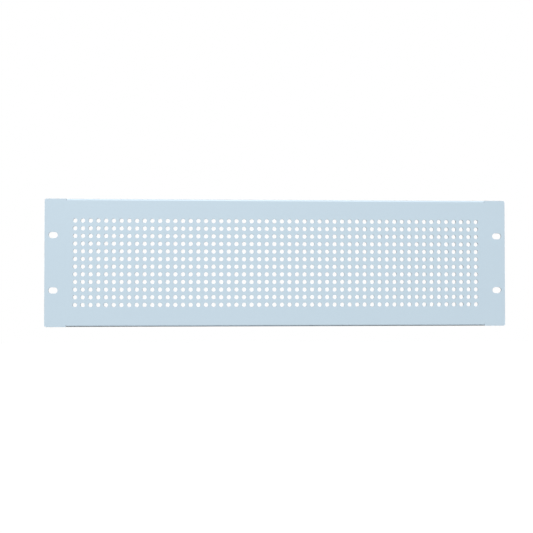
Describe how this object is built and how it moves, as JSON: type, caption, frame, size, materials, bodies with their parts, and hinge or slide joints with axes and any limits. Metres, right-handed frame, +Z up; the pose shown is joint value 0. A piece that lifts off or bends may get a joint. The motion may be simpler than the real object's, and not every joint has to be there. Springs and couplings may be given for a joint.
{
  "type": "rack blanking panel",
  "caption": "Perforated rack blanking panel: one folded steel sheet with a field of round vent holes, folded top and bottom edges, and slotted fixing ears.",
  "frame": {"origin": "middle of the four fixing slots, on the back face of the ears, which seats on the rack's rails", "axes": "+X along the panel's width, to the right as seen from the front; +Y into the rack, so the front face looks towards -Y; +Z up"},
  "size_m": [0.4826, 0.0159, 0.1326],
  "materials": {
    "powder_coat": "pale blue-grey powder coat, satin, on steel sheet"
  },
  "bodies": {
    "root": {"panel": "powder_coat"}
  },
  "joints": []
}
